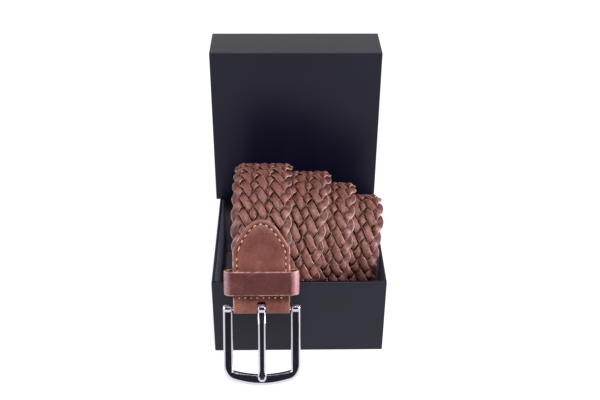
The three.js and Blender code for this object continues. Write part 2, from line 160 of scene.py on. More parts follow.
def leather(name, hollow, body, crown, warm, rough, mottle_mm, mottled, speckle=0.10, relief=0.10):
    """Grain side of the hide: three browns by wear and painted shading, warmer patches, a fine grain, a
    satin gloss.
    """
    material, tree = new_material(name)
    place = add_node(tree, "ShaderNodeTexCoord").outputs["Object"]
    wear_and_shading = add_node(tree, "ShaderNodeAttribute", attribute_name="wear_and_shading").outputs["Fac"]

    # Mottling and pores move the tone up and down around the wear and painted shading.
    mottle = add_node(
        tree,
        "ShaderNodeTexNoise",
        {"Vector": place, "Scale": per_metre(mottle_mm), "Detail": 4.0, "Roughness": 0.6},
    ).outputs["Fac"]
    swing = add_node(
        tree,
        "ShaderNodeMapRange",
        {"Value": mottle, "From Min": 0.3, "From Max": 0.7, "To Min": -mottled, "To Max": mottled},
    ).outputs["Result"]
    pores = add_node(
        tree,
        "ShaderNodeTexNoise",
        {"Vector": place, "Scale": per_metre(PORE_SIZE), "Detail": 5.0, "Roughness": 0.85},
    ).outputs["Fac"]
    speckled = add_node(
        tree,
        "ShaderNodeMapRange",
        {"Value": pores, "From Min": 0.42, "From Max": 0.62, "To Min": -0.7 * speckle, "To Max": speckle},
    ).outputs["Result"]
    worn = add_node(tree, "ShaderNodeMath", {0: wear_and_shading, 1: swing}, operation="ADD").outputs["Value"]
    tone = add_node(tree, "ShaderNodeMath", {0: worn, 1: speckled}, operation="ADD").outputs["Value"]
    # The darkest brown paints shade in the hollows, the lightest paints a highlight on the crowns.
    browns = [(0.15, hollow), (0.6, body), (1.0, crown)]
    dyed = add_node(tree, "ShaderNodeValToRGB", {"Fac": tone}, browns).outputs["Color"]

    # Here and there the dye has taken a warmer brown.
    patches = add_node(
        tree, "ShaderNodeTexNoise", {"Vector": place, "Scale": per_metre(PATCH_SIZE), "Detail": 1.0}
    ).outputs["Fac"]
    warmth = add_node(
        tree,
        "ShaderNodeMapRange",
        {"Value": patches, "From Min": 0.5, "From Max": 0.7, "To Min": 0.0, "To Max": 0.35},
    ).outputs["Result"]
    mix = {"Factor": warmth, "A": dyed, "B": linear(warm)}
    colour = add_node(tree, "ShaderNodeMix", mix, data_type="RGBA").outputs["Result"]

    # The grain is relief, and the wax fills it unevenly, which varies the gloss.
    grain = add_node(
        tree,
        "ShaderNodeTexVoronoi",
        {"Vector": place, "Scale": per_metre(GRAIN_SIZE)},
        feature="SMOOTH_F1",
    ).outputs["Distance"]
    bump = add_node(tree, "ShaderNodeBump", {"Height": grain, "Strength": 0.8, "Distance": relief * MM})
    spread = {"To Min": rough - 0.06, "To Max": rough + 0.08}
    gloss = add_node(
        tree, "ShaderNodeMapRange", {"Value": mottle, "From Min": 0.3, "From Max": 0.7} | spread
    ).outputs["Result"]
    waxed = add_node(
        tree,
        "ShaderNodeMapRange",
        {"Value": wear_and_shading, "From Min": 0.2, "From Max": 0.7, "To Min": 0.0, "To Max": 0.5},
    ).outputs["Result"]
    surface = add_node(
        tree,
        "ShaderNodeBsdfPrincipled",
        {
            "Base Color": colour,
            "Roughness": gloss,
            "Normal": bump.outputs["Normal"],
            "Specular IOR Level": waxed,
            "IOR": 1.45,
        },
    )
    add_node(tree, "ShaderNodeOutputMaterial", {"Surface": surface.outputs["BSDF"]})
    return material


print("grain", GRAIN_SIZE, "mm, pores", PORE_SIZE, "mm, patches", PATCH_SIZE, "mm")


# %% Cut edges, flesh side and thread
def plain_fibre(name, dark, light, grain_mm, rough):
    """Matt fibrous stuff of two close colours, for cut leather edges, the flesh side, thread, and the
    painted shade of cut walls and needle holes.
    """
    material, tree = new_material(name)
    place = add_node(tree, "ShaderNodeTexCoord").outputs["Object"]
    noise = {"Vector": place, "Scale": per_metre(grain_mm), "Detail": 3.0}
    fibres = add_node(tree, "ShaderNodeTexNoise", noise).outputs["Fac"]
    stops = [(0.35, dark), (0.65, light)]
    dyed = add_node(tree, "ShaderNodeValToRGB", {"Fac": fibres}, stops).outputs["Color"]
    bump = add_node(tree, "ShaderNodeBump", {"Height": fibres, "Strength": 0.5, "Distance": 0.08 * MM})
    looks = {"Base Color": dyed, "Normal": bump.outputs["Normal"], "Roughness": rough, "IOR": 1.5}
    surface = add_node(tree, "ShaderNodeBsdfPrincipled", looks)
    add_node(tree, "ShaderNodeOutputMaterial", {"Surface": surface.outputs["BSDF"]})
    return material


cut_edge = plain_fibre("cut_cowhide_edge", "#4e2c24", "#c6947f", grain_mm=3.0, rough=0.7)
# The flesh side is kept dark, because it also paints shade on the strands' cut walls.
flesh_and_shaded_walls = plain_fibre("cowhide_flesh_and_shaded_walls", "#3a2019", "#57372b", grain_mm=0.6, rough=0.85)
thread = plain_fibre("waxed_linen_thread", "#a87460", "#deb5a3", grain_mm=0.3, rough=0.55)
# The needle holes are dark pellets of painted shade.
needle_hole_shade = plain_fibre("needle_hole_shade", "#1e0f0c", "#2c1712", grain_mm=0.5, rough=0.9)
print("fibres:", cut_edge.name, flesh_and_shaded_walls.name, thread.name, needle_hole_shade.name)

# %% The belt's three leathers
# The strands are the most mottled and speckled, the tab the smoothest, the keeper a cooler brown.
# In each, the first brown is painted shade and the third a painted highlight.
strand_browns = ("#150806", "#482721", "#84524a", "#6e3f2f")
strand_leather = leather(
    "cowhide_strands", *strand_browns, 0.46, 4.5, 0.14, speckle=0.26, relief=0.20
)
tab_leather = leather("cowhide_tab", "#2e1612", "#77473e", "#a66d5e", "#824c3b", 0.42, 11.0, 0.09)
keeper_leather = leather("cowhide_keeper", "#331a19", "#5c3331", "#a37377", "#5e332c", 0.40, 9.0, 0.12)
print("leathers:", strand_leather.name, tab_leather.name, keeper_leather.name)

# %% [markdown]
# Every piece here is either lofted, from rings of points, or cut from an outline. One function
# skins rings into a closed mesh. It also takes a material for each side of the ring, so that a
# strand can have a grain side, two cut edges and a flesh side that also paints shade on its cut
# walls, and the wear and painted shading of each point. Curve objects with a bevel could draw a
# strand too, but they give no say over each side.


# %% Handing a piece over
def apply_modifiers(piece):
    """Replaces a piece's mesh by what its modifiers make of it."""
    bpy.context.view_layer.update()
    evaluated = piece.evaluated_get(bpy.context.evaluated_depsgraph_get())
    mesh = bpy.data.meshes.new_from_object(evaluated)
    piece.modifiers.clear()
    piece.data = mesh
    return piece


def hand_over(piece, body, replaced, smooth_angle, flat_faces=False):
    """Smooths a piece, lets it ride on a body and hides the CAD node that it stands for."""
    piece.data.shade_smooth()
    piece.data.set_sharp_from_angle(angle=math.radians(smooth_angle))
    if flat_faces:
        weighted = piece.modifiers.new("flat_faces", "WEIGHTED_NORMAL")
        weighted.keep_sharp = True
        apply_modifiers(piece)
    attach(piece, body)
    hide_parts(replaced)


# %% Loft
def skin(rings, looped=False):
    """Points and faces of equal rings, an array of ring, point and coordinate, in millimetres."""
    count, size = rings.shape[:2]
    index = np.arange(count * size).reshape(count, size)
    if looped:
        index = np.vstack([index, index[:1]])
    here, there = index[:-1], index[1:]
    quads = np.stack([here, there, np.roll(there, -1, 1), np.roll(here, -1, 1)], axis=-1)
    faces = quads.reshape(-1, 4).tolist()
    sides = np.tile(np.arange(size), len(here)).tolist()
    if not looped:
        faces += [index[0].tolist(), index[-1][::-1].tolist()]
        sides += [0, 0]
    return rings.reshape(-1, 3) * MM, faces, sides


def loft_mesh(name, lofts, materials, side_materials, wear_and_shading=None, looped=False):
    """One mesh of several lofts, with a material number for each side of their rings."""
    points, faces, numbers = [], [], []
    start = 0
    for rings in lofts:
        own_points, own_faces, own_sides = skin(rings, looped)
        points.append(own_points)
        faces += [[start + v for v in face] for face in own_faces]
        numbers += [side_materials[side] for side in own_sides]
        start += len(own_points)
    mesh = bpy.data.meshes.new(name)
    mesh.from_pydata(np.vstack(points).tolist(), [], faces)
    for material in materials:
        mesh.materials.append(material)
    mesh.polygons.foreach_set("material_index", numbers)
    if wear_and_shading is not None:
        attribute = mesh.attributes.new("wear_and_shading", "FLOAT", "POINT")
        attribute.data.foreach_set("value", np.concatenate([w.ravel() for w in wear_and_shading]).astype(np.float32))
    solid = bmesh.new()
    solid.from_mesh(mesh)
    bmesh.ops.recalc_face_normals(solid, faces=solid.faces)
    solid.to_mesh(mesh)
    solid.free()
    return mesh


print("a closed box of two square rings has", len(skin(np.zeros((2, 4, 3)))[1]), "faces")

# %% [markdown]
# The strap's middle line. It starts at the buckle's bar, runs straight up over the rim of the
# box and then winds inwards. The winding is the one of the CAD model: its outline is given by
# how far each tangent line lies from the axis, and a short table says how the turns shrink,
# sink and step to the right. Drawing the spiral point by point would need many more numbers, and
# its turns would never lie at an even distance.

# %% Measures of the strap
LEATHER_GAP = 0.3
BRAID_WIDTH = 38.5
BRAID_THICKNESS = 4.2
SEWN_WIDTH = 33.0
SEWN_THICKNESS = 3.0
SWELL = 14.0
HALF_DEPTH = 45.8
HALF_HEIGHT = 49.6
TURN_GAP = 0.4
ADVANCE = 59.4
BULGE_TURN = 0.4
END_TURN = 4.2
OVER_RIM = 14.5
BASE_BOARD = 2.4
TAB_LEATHER = 1.6
TAB_WIDTH = 35.4
FOLD_WIDTH = 34.8
TAB_TAPER = 26.0
ARCH_FOOT = 37.0
ARCH_HEIGHT = 17.6
BACK_LENGTH = 31.0
KEEPER_WIDTH = 46.6
KEEPER_HEIGHT = 15.0
KEEPER_LEATHER = 1.8
KEEPER_PLACE = 16.3
KEEPER_PLAY = 0.5
BUCKLE_REACH = 49.4
BUCKLE_THICKNESS = 3.2

CoilSection = namedtuple("CoilSection", "turn in_depth in_height sink across")
COIL_SECTIONS = [
    CoilSection(0.00, -0.15, -0.20, 0.00, 0.000),
    CoilSection(0.15, -0.10, -0.20, 0.00, 0.000),
    CoilSection(0.33, -0.05, -0.15, 0.00, 0.020),
    CoilSection(0.50, 0.00, 0.00, 0.00, 0.050),
    CoilSection(0.75, 0.15, 0.05, 0.00, 0.150),
    CoilSection(1.00, 0.35, 0.40, 0.00, 0.285),
    CoilSection(1.25, 0.70, 0.80, 0.05, 0.430),
    CoilSection(1.50, 1.10, 1.10, 0.15, 0.480),
    CoilSection(1.75, 1.50, 1.55, 0.25, 0.545),
    CoilSection(2.00, 1.95, 1.90, 0.30, 0.615),
    CoilSection(2.25, 2.30, 2.15, 0.35, 0.710),
    CoilSection(2.50, 2.65, 2.50, 0.45, 0.750),
    CoilSection(2.75, 3.00, 2.95, 0.60, 0.830),
    CoilSection(3.00, 3.30, 3.25, 0.65, 0.920),
    CoilSection(3.20, 3.60, 3.55, 0.65, 1.010),
    CoilSection(3.33, 3.80, 3.75, 0.65, 1.000),
    CoilSection(3.45, 3.95, 3.95, 0.70, 0.950),
    CoilSection(4.00, 4.60, 4.85, 0.70, 0.940),
    CoilSection(4.80, 5.60, 5.80, 0.70, 0.940),
]
print("the coil's table has", len(COIL_SECTIONS), "rows up to turn", COIL_SECTIONS[-1].turn)


# %% The coil in profile
def coil_column(name, turn):
    """A column of the coil's table as a smooth curve over the turns."""
    turns = np.array([row.turn for row in COIL_SECTIONS])
    values = np.array([getattr(row, name) for row in COIL_SECTIONS])
    edge = np.arange(len(turns))
    before, after = np.maximum(edge - 1, 0), np.minimum(edge + 1, len(turns) - 1)
    slopes = (values[after] - values[before]) / (turns[after] - turns[before])
    i = np.clip(np.searchsorted(turns, turn, side="right") - 1, 0, len(turns) - 2)
    span = turns[i + 1] - turns[i]
    t = (turn - turns[i]) / span
    return (
        (2 * t**3 - 3 * t**2 + 1) * values[i]
        + (t**3 - 2 * t**2 + t) * span * slopes[i]
        + (3 * t**2 - 2 * t**3) * values[i + 1]
        + (t**3 - t**2) * span * slopes[i + 1]
    )


def smooth(t):
    """Goes softly from 0 to 1 as t does."""
    t = np.clip(t, 0, 1)
    return t * t * (3 - 2 * t)


LAYER = BRAID_THICKNESS + TURN_GAP


def coil_support(turn):
    """How far the tangent line at each turn lies from the coil's axis."""
    angle = 2 * np.pi * np.asarray(turn, float)
    depth = HALF_DEPTH - LAYER * coil_column("in_depth", turn)
    height = HALF_HEIGHT - LAYER * coil_column("in_height", turn)
    sink = LAYER * coil_column("sink", turn)
    return np.hypot(depth * np.cos(angle), height * np.sin(angle)) - sink * np.sin(angle)


base_low, base_high = (np.array(corner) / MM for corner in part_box("box_base"))
bar_x, bar_y, bar_z = (v / MM for v in frame["joints"][0]["pos_m"])
half_strap = BRAID_THICKNESS / 2
axis_y = base_low[1] + BASE_BOARD + coil_support(1.0) + half_strap + LEATHER_GAP
axis_z = BASE_BOARD + coil_support(0.75) + half_strap + LEATHER_GAP
rim_y, rim_z = base_low[1], base_high[2]
stack_half = SEWN_THICKNESS / 2 + LEATHER_GAP + TAB_LEATHER
over_rim = stack_half + LEATHER_GAP + KEEPER_LEATHER + LEATHER_GAP
slope = math.atan2(rim_z - bar_z, rim_y - bar_y) + math.atan2(over_rim, OVER_RIM)
strap_up = np.array([0, math.cos(slope), math.sin(slope)])
strap_out = np.array([0, -math.sin(slope), math.cos(slope)])
print("axis of the coil", round(float(axis_y), 2), round(float(axis_z), 2))
print("the strap leaves the bar at", round(math.degrees(slope), 2), "degrees")


# %% The strap's middle line
def strap_line():
    """Length, middle, outward normal and direction along the strap, from the bar inwards."""
    leave = (math.pi / 2 - slope) / (2 * math.pi)
    bar = np.array([bar_x, bar_y, bar_z])
    axis = np.array([0, axis_y, axis_z])
    bulge = (bar - axis) @ strap_out - coil_support(leave)
    turn = np.arange(leave, COIL_SECTIONS[-1].turn, 1 / 720)
    angle = 2 * np.pi * turn

    def support(t):
        return coil_support(t) + bulge * (1 - smooth((t - leave) / (BULGE_TURN - leave)))

    nudge = 1e-4
    rate = (support(turn + nudge) - support(turn - nudge)) / (4 * np.pi * nudge)
    reach = support(turn)
    spots = np.stack(
        [
            bar_x + ADVANCE * coil_column("across", turn),
            axis_y - np.cos(angle) * reach + np.sin(angle) * rate,
            axis_z + np.sin(angle) * reach + np.cos(angle) * rate,
        ],
        axis=1,
    )
    normals = np.stack([0 * angle, -np.cos(angle), np.sin(angle)], axis=1)
    run = math.hypot(*(spots[0] - bar)[1:])
    straight = np.arange(0, run, 0.5)
    spots = np.vstack([bar + straight[:, None] * strap_up, spots])
    normals = np.vstack([np.tile(strap_out, (len(straight), 1)), normals])
    steps = np.linalg.norm(np.diff(spots, axis=0), axis=1)
    lengths = np.concatenate([[0], np.cumsum(steps)])
    along = np.gradient(spots, lengths, axis=0)
    turns = np.concatenate([np.zeros(len(straight)), turn])
    return lengths, spots, normals, along / np.linalg.norm(along, axis=1)[:, None], turns


LENGTHS, SPOTS, NORMALS, ALONG, TURNS = strap_line()


def on_strap(s, aside, above):
    """Points beside and above the middle line, for arrays of lengths and offsets."""
    s, aside, above = np.broadcast_arrays(*(np.asarray(v, float) for v in (s, aside, above)))

    def read(rows):
        return np.stack([np.interp(s, LENGTHS, rows[:, k]) for k in range(3)], axis=-1)

    normal = read(NORMALS)
    across = np.cross(read(ALONG), normal)
    across /= np.linalg.norm(across, axis=-1)[..., None]
    return read(SPOTS) + across * aside[..., None] + normal * above[..., None]


BRAID_END = float(np.interp(END_TURN, TURNS, LENGTHS))
print("the braid ends", round(BRAID_END), "mm from the bar")

# %% [markdown]
# The braid. A flat braid of eleven strands is a zigzag: each strand crosses ten others on its way
# to one edge, turns, and crosses ten on its way back. Strands that climb to the right pass over
# at crossings 1, 4, 7 and 10; those that climb to the left pass over the others. That gives the
# long lozenges, with a small square of the other direction between them.
#
# Each strand is a flat lace about 5 mm wide. It would be enough to wave it up and down along
# its middle, but the folds of a real lace run parallel to the strand that it dips under, and not
# square across it. So the height of each point is read from the crossing pattern at that point.
# The pull of the braid also turns the long lozenges upright and lays the small squares down. One
# wave that runs through the whole pattern sways all strands together, so they still cross rightly.

# %% Measures of the braid
STRANDS = 11
PITCH = 10.3
RISE = PITCH / 2
COLUMN = 3.25
PERIOD = 2 * STRANDS
BRAID_HALF = COLUMN * STRANDS / 2
LACE_WIDTH = 4.75
LACE_THICKNESS = 1.0
LACE_BEVEL = 0.25
LACE_DOME = 0.36
LACE_CURL = 0.25
LACE_DRIFT = 0.20
LACE_TWIST = 0.13
CROSSING_DIP = 0.34
EDGE_BEND = 0.5
WAVE = 0.58
PILLOW = 0.88
SWAY = 0.15
SHOULDER = 5.0
SHOULDER_DROP = 0.9
STEPS_PER_CROSSING = 7
BRAID_START = 7.0
CROSSING_LEVELS = "0+--+--+--+0-++-++-++-"
print("a strand comes back after", PERIOD * RISE, "mm and", len(CROSSING_LEVELS), "columns")


# %% The crossing pattern
def lift_table(at_turns, points_per_crossing=40):
    """Height pattern along a strand's whole zigzag, as levels from -1 to 1, and its pillows."""
    levels = np.array([{"0": at_turns, "+": 1, "-": -1}[c] for c in CROSSING_LEVELS], float)
    theta = np.arange(PERIOD * points_per_crossing) / points_per_crossing
    low = np.floor(theta).astype(int)
    turn_over = smooth((theta - low - 0.5) / (2 * CROSSING_DIP) + 0.5)
    level = levels[low % PERIOD] * (1 - turn_over) + levels[(low + 1) % PERIOD] * turn_over
    pillow = np.zeros_like(theta)
    start = 0
    while start < PERIOD:
        end = start
        while end + 1 < PERIOD and levels[end + 1] == levels[start]:
            end += 1
        span = end - start + 1
        inside = (theta >= start - 0.5) & (theta < end + 0.5)
        pillow[inside] = levels[start] * np.sin(np.pi * (theta[inside] - start + 0.5) / span)
        start = end + 1
    return theta, level, pillow


THETA, LEVEL, PILLOW_SHAPE = lift_table(at_turns=0)
# The same pattern with softer ends marks where painted shade falls on a strand.
SHOWN = lift_table(at_turns=0.7)[1]
print("share of a strand that lies on top:", round(float((LEVEL > 0).mean()), 2))


# %% One strand as rings
def half_thickness(s):
    """Half of the strap's thickness, pressed flat where it is sewn between the tab's panels."""
    opened = smooth((s - KEEPER_PLACE - KEEPER_HEIGHT / 2) / SWELL)
    return (SEWN_THICKNESS + (BRAID_THICKNESS - SEWN_THICKNESS) * opened) / 2


def lace_section():
    """The lace's cross-section as offsets aside and above: domed grain side, flat flesh side."""
    half, flat = LACE_WIDTH / 2, LACE_WIDTH / 2 - LACE_BEVEL
    top, low = LACE_THICKNESS / 2, -LACE_THICKNESS / 2
    face = np.linspace(-flat, flat, 7)
    aside = [*face, half, half, flat, 0, -flat, -half, -half]
    dome = top + LACE_DOME * (1 - (face / flat) ** 2)
    rim, foot = top - LACE_BEVEL, low + LACE_BEVEL
    return np.array(aside), np.array([*dome, rim, foot, low, low, low, foot, rim])


def strand_columns(tau):
    """Which column of crossings the strand is in, turning softly at both edges of the braid."""
    quarter = STRANDS / 2
    least = 0.9 * EDGE_BEND
    nearest = np.abs((tau + STRANDS) % PERIOD - STRANDS)

    def eased(d):
        steep = (np.hypot(d, EDGE_BEND) - EDGE_BEND) / (math.hypot(quarter, EDGE_BEND) - EDGE_BEND)
        return least + (quarter - least) * steep

    return np.where(nearest < quarter, eased(nearest), STRANDS - eased(STRANDS - nearest)) - quarter


def strand_rings(number, rng):
    """One strand of the braid as rings of points, with the wear and painted shading of each point."""
    aside, height = lace_section()
    crossings = (BRAID_END - BRAID_START) / RISE
    t = np.linspace(0, crossings, int(crossings * STEPS_PER_CROSSING) + 1)
    tau = t - 2 * number
    drift = LACE_DRIFT * np.sin(t * rng.uniform(0.5, 0.9) + rng.uniform(0, 6))
    middle_x = COLUMN * strand_columns(tau) + drift
    middle_s = BRAID_START + t * RISE
    lean = np.gradient(middle_x, t)
    size = np.hypot(lean, RISE)
    x = middle_x[:, None] + (RISE / size)[:, None] * aside
    s = middle_s[:, None] - (lean / size)[:, None] * aside
    lozenge = BRAID_START + RISE / 2 + x * PITCH / (6 * COLUMN)
    inner = smooth((BRAID_HALF - np.abs(x)) / COLUMN)
    x = x + SWAY * inner * np.sin(2 * np.pi * (s - lozenge) / PITCH)
    skew = (RISE**2 - COLUMN**2) / (2 * math.hypot(RISE, COLUMN) * RISE * COLUMN)
    theta = tau[:, None] + skew * (lean / COLUMN)[:, None] * aside
    level = np.interp(theta, THETA, LEVEL, period=PERIOD)
    pillow = np.interp(theta, THETA, PILLOW_SHAPE, period=PERIOD)
    curl = LACE_CURL * level * (2 * aside / LACE_WIDTH) ** 2
    twist = LACE_TWIST * np.sin(t * rng.uniform(0.6, 1.1) + rng.uniform(0, 6))[:, None]
    z = WAVE * level + PILLOW * pillow + height - curl + twist * aside
    opened = smooth((s - ARCH_FOOT) / (ARCH_HEIGHT / 2) + 0.7)
    widen = (SEWN_WIDTH / BRAID_WIDTH) * (1 - opened) + opened
    thick = half_thickness(s) / half_strap
    z = z - SHOULDER_DROP * opened * smooth((np.abs(x) - BRAID_WIDTH / 2) / SHOULDER + 1)
    shown = np.interp(theta, THETA, SHOWN, period=PERIOD)
    # Painted shade where the strand dives under the others, weaker near the braid's edges, and a painted
    # highlight on the crowns of its top parts.
    painted_shade = (1 - smooth((shown + 0.35) / 0.9)) * smooth((BRAID_HALF - np.abs(x)) / (2 * COLUMN))
    wear_and_shading = np.clip(0.62 * (1 - painted_shade) + 0.34 * np.abs(pillow) * (level > 0), 0, 1)
    return on_strap(s, x * widen, z * thick), wear_and_shading


print("a lace's section has", len(lace_section()[0]), "points")

# %% Weaving the eleven strands
GRAIN, EDGE, FLESH_AND_SHADE = 0, 1, 2
# A strand's top bevels are pale cut edge; its cut walls take the dark flesh material as painted shade.
LACE_SIDES = [GRAIN] * 6 + [EDGE] + [FLESH_AND_SHADE] * 6 + [EDGE]
triangles = 0
for number in range(STRANDS):
    rings, wear_and_shading = strand_rings(number, random.Random(number))
    mesh = loft_mesh(
        f"braid_strand_{number + 1:02d}",
        [rings],
        [strand_leather, cut_edge, flesh_and_shaded_walls],
        LACE_SIDES,
        [wear_and_shading],
    )
    hand_over(add_object(mesh.name, mesh), "box_and_strap", "braid_band", 75)
    triangles += 2 * len(mesh.polygons)
print("strands:", STRANDS, "with about", triangles, "triangles")

# %% [markdown]
# The buckle tab is one piece of smooth leather, folded around the bar, sewn through the braid and
# cut to an arch in front. It is lofted in one go from the end of its back panel, around the fold,
# to the tip of the arch. A flat plate with a thickness could be folded instead, but here the rings
# are close together, so that the rounded edge and the groove that the stitches pull into the
# leather are real relief. The slot for the prong is cut through the fold afterwards.

# %% Outline of the tab
FOLD_INSIDE = SEWN_THICKNESS / 2 + LEATHER_GAP
ARCH_TIP = 1.0
STITCH_INSET = 2.7
STITCH_PITCH = 3.9
GROOVE_DEPTH = 0.28
GROOVE_WIDTH = 0.55
EDGE_ROUND = 0.75
FACE_POINTS = 61
# Where the painted shade just below the keeper is darkest.
SHADE_BELOW_KEEPER_PLACE = 6.2


def tab_half(s):
    """Half of the tab's width at a place along the strap."""
    s = np.asarray(s, float)
    body = (FOLD_WIDTH + (TAB_WIDTH - FOLD_WIDTH) * smooth(s / TAB_TAPER)) / 2
    to_foot = np.clip(1 - (s - ARCH_FOOT) / ARCH_HEIGHT, 0, 1)
    arch = ARCH_TIP + (TAB_WIDTH / 2 - ARCH_TIP) * to_foot**0.54
    return np.where(s < ARCH_FOOT, body, arch)


def arch_outline():
    """The front panel's edge as points (aside, s), from the lower left, over the arch, to the right."""
    straight = np.arange(0, ARCH_FOOT, 0.5)
    curved = ARCH_FOOT + ARCH_HEIGHT * np.sin(np.linspace(0, np.pi / 2, 120))
    s = np.concatenate([straight, curved])
    left = np.stack([-tab_half(s), s], axis=1)
    right = np.stack([tab_half(s), s], axis=1)[::-1]
    return np.vstack([left, right])


OUTLINE = arch_outline()


def from_edge(aside, s):
    """How far points of the front panel lie from its edge."""
    spots = np.stack([aside, s], axis=-1)[..., None, :]
    return np.sqrt(((spots - OUTLINE) ** 2).sum(-1).min(-1))


def inset_line(inset):
    """The outline moved inwards, as points (aside, s) an even step apart."""
    step = np.gradient(OUTLINE, axis=0)
    inward = np.stack([step[:, 1], -step[:, 0]], axis=1)
    inward /= np.linalg.norm(inward, axis=1)[:, None]
    moved = OUTLINE + inset * inward
    moved = moved[from_edge(moved[:, 0], moved[:, 1]) > inset - 0.06]
    run = np.concatenate([[0], np.cumsum(np.linalg.norm(np.diff(moved, axis=0), axis=1))])
    even = np.arange(0, run[-1], 0.25)
    return np.stack([np.interp(even, run, moved[:, k]) for k in range(2)], axis=1)


print("the arch's edge is", round(float(np.linalg.norm(np.diff(OUTLINE, axis=0), axis=1).sum())), "mm long")


# %% Rings of the tab
def tab_ring(s, angle, half, aside_share, away, inner):
    """Points around the strap's end: angle turns from its back (0) past the fold to its front."""
    spot = on_strap(s, aside_share * half, 0)
    normal = on_strap(s, 0, 1) - on_strap(s, 0, 0)
    down = -strap_up
    out = -math.cos(angle) * normal + math.sin(angle) * down
    return spot + out * (inner + away)[:, None]


def tab_rings():
    """Rings of the whole tab, from the back panel's end to the tip of the arch, and their wear and painted
    shading.
    """
    face = np.linspace(-1, 1, FACE_POINTS)
    under = face[::-4][1:-1]
    aside = np.concatenate([face, [1, 1], under, [-1, -1]])
    outer = np.concatenate([np.ones(FACE_POINTS), [0.72, 0.2], np.zeros(len(under)), [0.2, 0.72]])
    back = [(s, 0.0) for s in np.arange(BACK_LENGTH, 0, -1.0)]
    fold = [(0.0, a) for a in np.linspace(0, np.pi, 17)]
    front = [(s, np.pi) for s in np.arange(0.5, ARCH_FOOT, 0.5)]
    arch = [(s, np.pi) for s in ARCH_FOOT + ARCH_HEIGHT * np.sin(np.linspace(0, np.pi / 2, 44))]
    rings, wear_and_shading = [], []
    for s, angle in back + fold + front + arch:
        half = float(tab_half(s)) if angle > 0 else float(tab_half(min(s, ARCH_FOOT)))
        inner = half_thickness(s) + LEATHER_GAP
        to_side = half * (1 - np.abs(aside))
        edge = to_side
        if angle >= np.pi:
            edge = np.minimum(to_side, from_edge(aside * half, np.full(len(aside), s)))
        rounding = np.clip(1 - edge / EDGE_ROUND, 0, 1)
        drop = 0.45 * rounding**2
        groove = 0 * edge
        if angle >= np.pi and s > KEEPER_PLACE:
            groove = GROOVE_DEPTH * np.exp(-(((edge - STITCH_INSET) / GROOVE_WIDTH) ** 2))
        away = outer * (TAB_LEATHER - drop - groove)
        rings.append(tab_ring(s, angle, half, aside, away, np.full(len(aside), inner)))
        # Painted highlight on the rounded edge and in a band along the stitches; painted shade in the
        # stitch groove and below the keeper, more on its right; lighter below the arch.
        beyond_highlight_band = smooth((edge - STITCH_INSET) / 5)
        shade_below_keeper = 0.26 * math.exp(-(((s - SHADE_BELOW_KEEPER_PLACE) / 2.0) ** 2))
        shade_on_right = (0.03 + 0.11 * smooth(aside)) * (s < KEEPER_PLACE)
        lighter_low_and_shade = 0.12 * smooth((ARCH_FOOT + 4 - s) / 14) - shade_below_keeper - shade_on_right
        wear_and_shading.append(np.clip(0.55 + 0.35 * rounding - 1.1 * groove - 0.10 * beyond_highlight_band + lighter_low_and_shade, 0, 1))
    return np.array(rings), np.array(wear_and_shading)


tab_points, tab_wear_and_shading = tab_rings()
side_count = tab_points.shape[1]
# The outermost strip of the face takes the pale cut-edge colour too, as a painted highlight on the rounded
# edge.
tab_sides = [EDGE] + [GRAIN] * 58 + [EDGE] * 4 + [FLESH_AND_SHADE] * (side_count - 66) + [EDGE] * 3
tab_mesh = loft_mesh(
    "buckle_tab_leather", [tab_points], [tab_leather, cut_edge, flesh_and_shaded_walls], tab_sides, [tab_wear_and_shading]
)
print("the tab has", len(tab_points), "rings of", side_count, "points")

# %% Buckle tab
SLOT_RISE = 4.8
SLOT_WIDTH = 5.2
SLOT_CORNER = 1.5


def slot_cutter():
    """A prism with rounded corners, standing through the fold where the prong comes out."""
    outline = []
    reach = FOLD_INSIDE + TAB_LEATHER + 1
    inner_x, inner_y = SLOT_WIDTH / 2 - SLOT_CORNER, SLOT_RISE - SLOT_CORNER
    for side, first in [(1, 0), (-1, np.pi / 2)]:
        for angle in np.linspace(first, first + np.pi / 2, 7):
            corner = SLOT_CORNER * np.array([math.cos(angle), math.sin(angle)])
            outline.append((side * inner_x + corner[0], inner_y + corner[1]))
    outline += [(-SLOT_WIDTH / 2, -reach), (SLOT_WIDTH / 2, -reach)]
    rings = np.array([[(bar_x + x, y, z) for x, y in outline] for z in (-reach, reach)])
    up, out = rings[..., 1].copy(), rings[..., 2].copy()
    rings[..., 1] = bar_y + up * strap_up[1] + out * strap_out[1]
    rings[..., 2] = bar_z + up * strap_up[2] + out * strap_out[2]
    mesh = loft_mesh("slot_cutter", [rings], [cut_edge], [0] * len(outline))
    return add_object("slot_cutter", mesh)


def cut_by(piece, cutter, operation="DIFFERENCE"):
    """Cuts or joins one piece with another, and removes the other."""
    modifier = piece.modifiers.new("cut", "BOOLEAN")
    modifier.object = cutter
    modifier.operation = operation
    modifier.solver = "EXACT"
    apply_modifiers(piece)
    bpy.data.objects.remove(cutter)
    return piece


tab = cut_by(add_object("buckle_tab_leather", tab_mesh), slot_cutter())
hand_over(tab, "box_and_strap", "buckle_tab", 50)
print("buckle tab:", len(tab.data.polygons), "faces")

# %% [markdown]
# The stitches are waxed linen thread in a groove, a little under four millimetres apart. Each one
# is a short bent capsule that dives into a needle hole at both ends, so it catches the light like
# thread and not like a painted dash. One more row crosses the tab just below the keeper.

# %% A stitch and its holes
THREAD_RADIUS = 0.38


